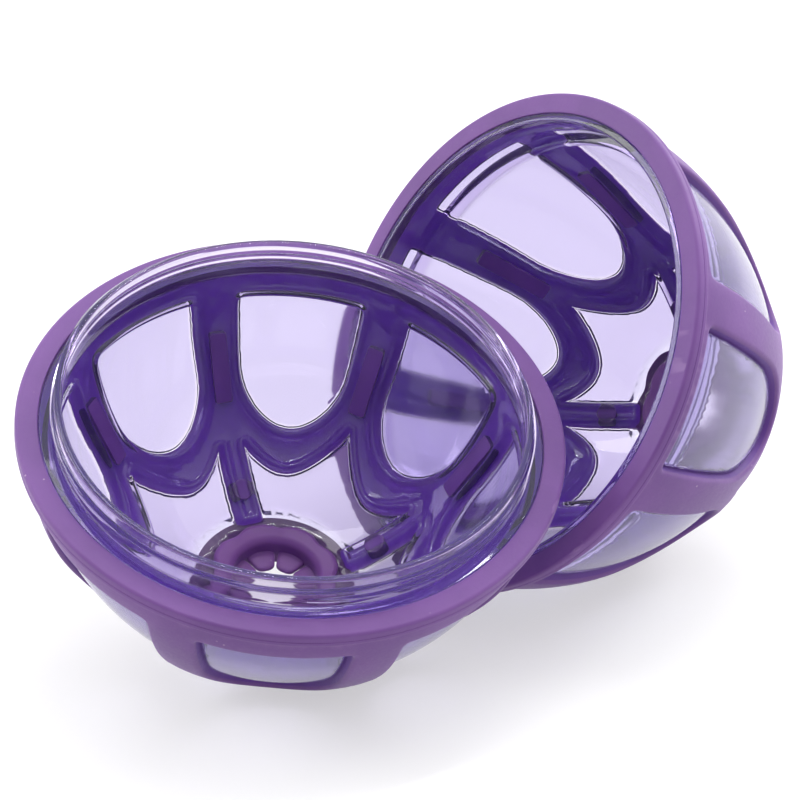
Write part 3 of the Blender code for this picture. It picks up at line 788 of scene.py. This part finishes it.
def tongue_mesh():
    """Flexing tongue of the outlet, drawn along +x towards the outlet's axis
    from its root in the ring's wall; y across it, z its thickness."""
    x0, x1 = -(HOLE_R + 0.7 - HINGE_R), HINGE_R - TIP_R
    nx, nc = 26, 20
    verts, faces = [], []
    for i in range(nx):
        t = i / (nx - 1)
        x = x0 + (x1 - x0) * t
        r = HINGE_R - x
        half = min(3.5, r * math.tan(math.radians(20.8)))
        end = max(0.0, (x - (x1 - 1.2)) / 1.2)
        half *= math.sqrt(max(0.02, 1 - end ** 2)) if end > 0 else 1.0
        thick = 1.0 - 0.25 * smoothstep(t, 0.2, 1.0)
        if end > 0:
            thick *= math.sqrt(max(0.03, 1 - end ** 2))
        root = 1.0 - smoothstep(x, x0, x0 + 1.8)
        half += 0.35 * root
        thick += 0.35 * root
        for k in range(nc):
            a = TAU * k / nc
            ca, sa = math.cos(a), math.sin(a)
            y = half * math.copysign(abs(ca) ** 0.55, ca)
            z = thick * math.copysign(abs(sa) ** 0.55, sa)
            verts.append((x, y, z))
    for i in range(nx - 1):
        for k in range(nc):
            k2 = (k + 1) % nc
            faces.append((i * nc + k, i * nc + k2, (i + 1) * nc + k2, (i + 1) * nc + k))
    faces.append(tuple(range(nc)))
    faces.append(tuple(range((nx - 1) * nc, nx * nc)))
    return np.array(verts), faces


def build_half(tag):
    h = HALVES[tag]
    m = half_matrix(h)
    dome = Dome(SHELL_R, h["depth"], h["power"])
    loops = [even_loop(dome, window_outline(dome, h, k * PITCH), 0.62, 1.25) for k in range(PETALS)]
    loops.append(even_loop(dome, pole_outline(dome, h), 0.62, 0.95))

    verts, faces, normals, pane = shell_mesh(h, dome, loops)
    ob = add_piece(tag + "_clear_bowl", verts, faces, m, CLEAR, 50.0, normals=normals, pane=pane)
    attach(ob, tag)
    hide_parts(tag + "_shell")

    verts, faces, slots = cage_mesh(dome, h, loops)
    # the cage's bed carries painted light through the rubber, and its side walls carry painted shade
    ob = add_piece(tag + "_petal_cage", verts, faces, m, RUBBER, 50.0, (BED_PAINTED_GLOW, KEYS_WALLS_PAINTED_SHADE), slots)
    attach(ob, tag)
    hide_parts(tag + "_rib_cage")

    parts = []
    inner = -WALL - 0.45
    for k in range(PETALS):
        parts.append(key_mesh(dome, (k + 0.5) * PITCH, KEY_HALF_W, *h["key"], inner, 1.0))
    for k in range(PETALS // 2):
        parts.append(disc_mesh(dome, PITCH / 2 + k * 2 * PITCH, h["plug"], PLUG_R, -WALL - 1.0, 1.0))
    verts, faces = join(parts)
    # the keys take the darker copy of the rubber: painted shade
    ob = add_piece(tag + "_wall_keys", verts, faces, m, KEYS_WALLS_PAINTED_SHADE, 40.0)
    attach(ob, tag)
    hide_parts(tag + "_rib_cage")

    # rim ring: flat face, rounded edges, a fine parting line round its side
    r0, r1, t = SHELL_R + 0.12, BUMPER_R - 0.2, BUMPER_T
    profile = rounded([(r0, 0.0), (r1, 0.0), (r1, -1.95), (r1 - 0.14, -2.1), (r1, -2.25), (r1, -t), (r0, -t)],
                      (0.3, 1.0, 0.05, 0.05, 0.05, 0.9, 0.1), 6)
    verts, faces = grid_rows(lathe_rows(profile, np.arange(300) * TAU / 300))
    ob = add_piece(tag + "_rim_ring", verts, faces, m, RUBBER, 50.0)
    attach(ob, "base" if tag == "base" else "cap_collar")
    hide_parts(tag + "_rim_bumper")

    # outlet: flange outside, tube through the wall, lobed ring inside
    def at(r, hh):
        return (r, float(dome.rz(float(dome.s_of_r(r)), hh)[1]))
    profile = rounded([at(FLANGE_R, -0.1), at(FLANGE_R, RUBBER_H), at(FLANGE_R - 1.4, 4.0),
                       at(HOLE_R + 1.2, 4.0), at(HOLE_R, 3.0), at(HOLE_R, -4.2),
                       at(HOLE_R + 1.2, -5.2), at(LOBE_R - 1.2, -5.2), at(LOBE_R, -4.2),
                       at(LOBE_R, -WALL + 0.1), at(TUBE_R, -WALL + 0.1), at(TUBE_R, -0.1)],
                      (0.1, 0.8, 0.8, 0.7, 0.7, 0.7, 0.7, 0.8, 0.8, 0.3, 0.2, 0.1), 5)
    z_in = at(LOBE_R, -WALL + 0.2)[1]

    def lobes(r, z, a):
        on = smoothstep(np.array(r), HOLE_R + 2.5, LOBE_R - 0.8) * (1.0 if z > z_in - 0.3 else 0.0)
        return 1.0 - 0.075 * on * np.abs(np.cos(math.pi * (a / PITCH))) ** 4
    verts, faces = grid_rows(lathe_rows(profile, np.arange(240) * TAU / 240, lobes))
    ob = add_piece(tag + "_outlet_collar", verts, faces, m, RUBBER_IN, 45.0)
    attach(ob, tag)
    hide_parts(tag + "_outlet_ring")

    tv, tf = tongue_mesh()
    z = float(dome.rz(float(dome.s_of_r(HINGE_R)), PRONG_H)[1])
    for k in range(PETALS):
        a = (k + 0.5) * PITCH
        place = (m @ Matrix.Rotation(a, 4, "Z") @ Matrix.Translation(Vector((HINGE_R, 0, z)))
                 @ Matrix.Rotation(math.pi, 4, "Z"))
        ob = add_piece("%s_tongue_%d" % (tag, k + 1), tv, tf, place, RUBBER_IN, 60.0)
        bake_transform(ob)
        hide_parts("%s_prong_%d" % (tag, k + 1))


for tag in ("base", "cap"):
    build_half(tag)


# --------------------------------------------------------------------- stage
def floor():
    """Pale sheet that the toy stands on."""
    size, n = 3.0, 24
    xs = np.linspace(-size, size, n)
    verts = [(x, y, -0.0002) for y in xs for x in xs]
    faces = [(j * n + i, j * n + i + 1, (j + 1) * n + i + 1, (j + 1) * n + i)
             for j in range(n - 1) for i in range(n - 1)]
    me = bpy.data.meshes.new("floor")
    me.from_pydata(verts, [], faces)
    mat, nt, bsdf, vec = new_material("pale_floor")
    nt.links.new(mix(nt, noise(nt, vec, 3.0), (0.50, 0.50, 0.50), (0.52, 0.52, 0.515)),
                 bsdf.inputs["Base Color"])
    bsdf.inputs["Roughness"].default_value = 0.85
    bsdf.inputs["Specular IOR Level"].default_value = 0.2
    bsdf.inputs["Emission Color"].default_value = (1.0, 1.0, 1.0, 1.0)
    # the sheet's glow lights the toy less than it shows
    path = nt.nodes.new("ShaderNodeLightPath")
    nt.links.new(remap(nt, path.outputs["Is Diffuse Ray"], 0.0, 1.0, 0.50, 0.12, False),
                 bsdf.inputs["Emission Strength"])
    me.materials.append(mat)
    ob = bpy.data.objects.new("floor", me)
    bpy.context.scene.collection.objects.link(ob)


def area(name, loc, target, size, size_y, power, colour=(1.0, 1.0, 1.0)):
    data = bpy.data.lights.new(name, "AREA")
    data.shape = "RECTANGLE"
    data.size, data.size_y = size, size_y
    data.energy = power
    data.color = colour
    ob = bpy.data.objects.new(name, data)
    bpy.context.scene.collection.objects.link(ob)
    ob.location = loc
    ob.rotation_euler = (Vector(target) - Vector(loc)).to_track_quat("-Z", "Y").to_euler()
    return ob


floor()
# soft light from all round, stronger from behind and above
world = bpy.data.worlds.new("studio")
bpy.context.scene.world = world
world.use_nodes = True
wt = world.node_tree
way = wt.nodes.new("ShaderNodeVectorMath")
way.operation = "DOT_PRODUCT"
way.inputs[1].default_value = (0.20, 0.60, 0.77)
wt.links.new(wt.nodes.new("ShaderNodeTexCoord").outputs["Generated"], way.inputs[0])
wt.links.new(remap(wt, way.outputs["Value"], -0.75, 0.85, 0.14, 1.35), wt.nodes["Background"].inputs["Strength"])
wt.nodes["Background"].inputs["Color"].default_value = (1.0, 1.0, 1.0, 1.0)
area("left", (-0.85, 0.10, 0.42), (0.0, 0.0, 0.05), 0.4, 0.5, 3.0)
area("right", (0.70, 0.45, 0.60), (0.0, 0.0, 0.05), 0.3, 0.4, 3.0)
area("top", (0.15, 0.10, 1.10), (0.0, 0.0, 0.04), 0.035, 0.8, 2.0)
area("back", (0.30, 0.75, 0.80), (0.0, 0.0, 0.05), 0.6, 0.15, 1.0)
# a broad panel that shows in the gloss of the plastic only
gleam = area("gleam", (-0.25, 0.05, 1.00), (0.0, 0.0, 0.05), 0.5, 0.5, 2.5)
gleam.visible_diffuse = False
gleam.visible_transmission = False
bpy.context.scene.cycles.max_bounces = 24
bpy.context.scene.cycles.transmission_bounces = 24

cam_data = bpy.data.cameras.new("camera")
cam_data.lens = 108.0
cam_data.sensor_width = 36.0
cam = bpy.data.objects.new("camera", cam_data)
bpy.context.scene.collection.objects.link(cam)
cam.location = (-0.0045, -0.5316, 0.2818)
cam.rotation_euler = (math.radians(67.0), 0.0, 0.0)
bpy.context.scene.camera = cam
bpy.context.scene.view_settings.view_transform = "Standard"
bpy.context.scene.view_settings.look = "None"
